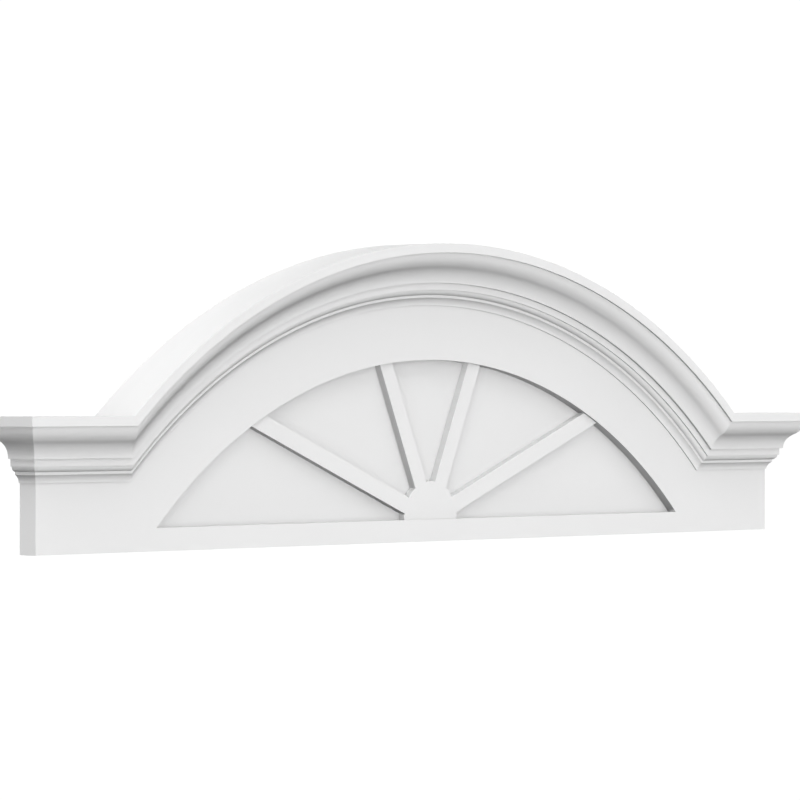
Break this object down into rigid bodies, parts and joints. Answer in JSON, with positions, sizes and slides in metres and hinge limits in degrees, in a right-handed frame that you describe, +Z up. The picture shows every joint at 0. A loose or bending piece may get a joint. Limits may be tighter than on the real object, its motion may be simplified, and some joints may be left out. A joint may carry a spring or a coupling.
{
  "type": "segmental pediment",
  "caption": "Segmental pediment for a door or window head: crown moulding arched over a recessed panel with a half-round hub and spokes, and returned to the wall at both ends.",
  "frame": {"origin": "on the flat back, which lies on the wall, at the middle of the width and at half the overall height", "axes": "+Z up, +Y into the wall, -Y out of the decorated front, +X to the right as seen from the front"},
  "size_m": [1.296, 0.0638, 0.3434],
  "materials": {
    "pvc_board": "smooth matt white cellular PVC sheet",
    "pvc_moulding": "smooth matt white cellular PVC moulding"
  },
  "bodies": {
    "root": {"face_board": "pvc_board", "tympanum_panel": "pvc_board", "sunburst": "pvc_board", "arched_crown": "pvc_moulding", "left_crown": "pvc_moulding", "right_crown": "pvc_moulding", "left_return": "pvc_moulding", "right_return": "pvc_moulding"}
  },
  "joints": []
}
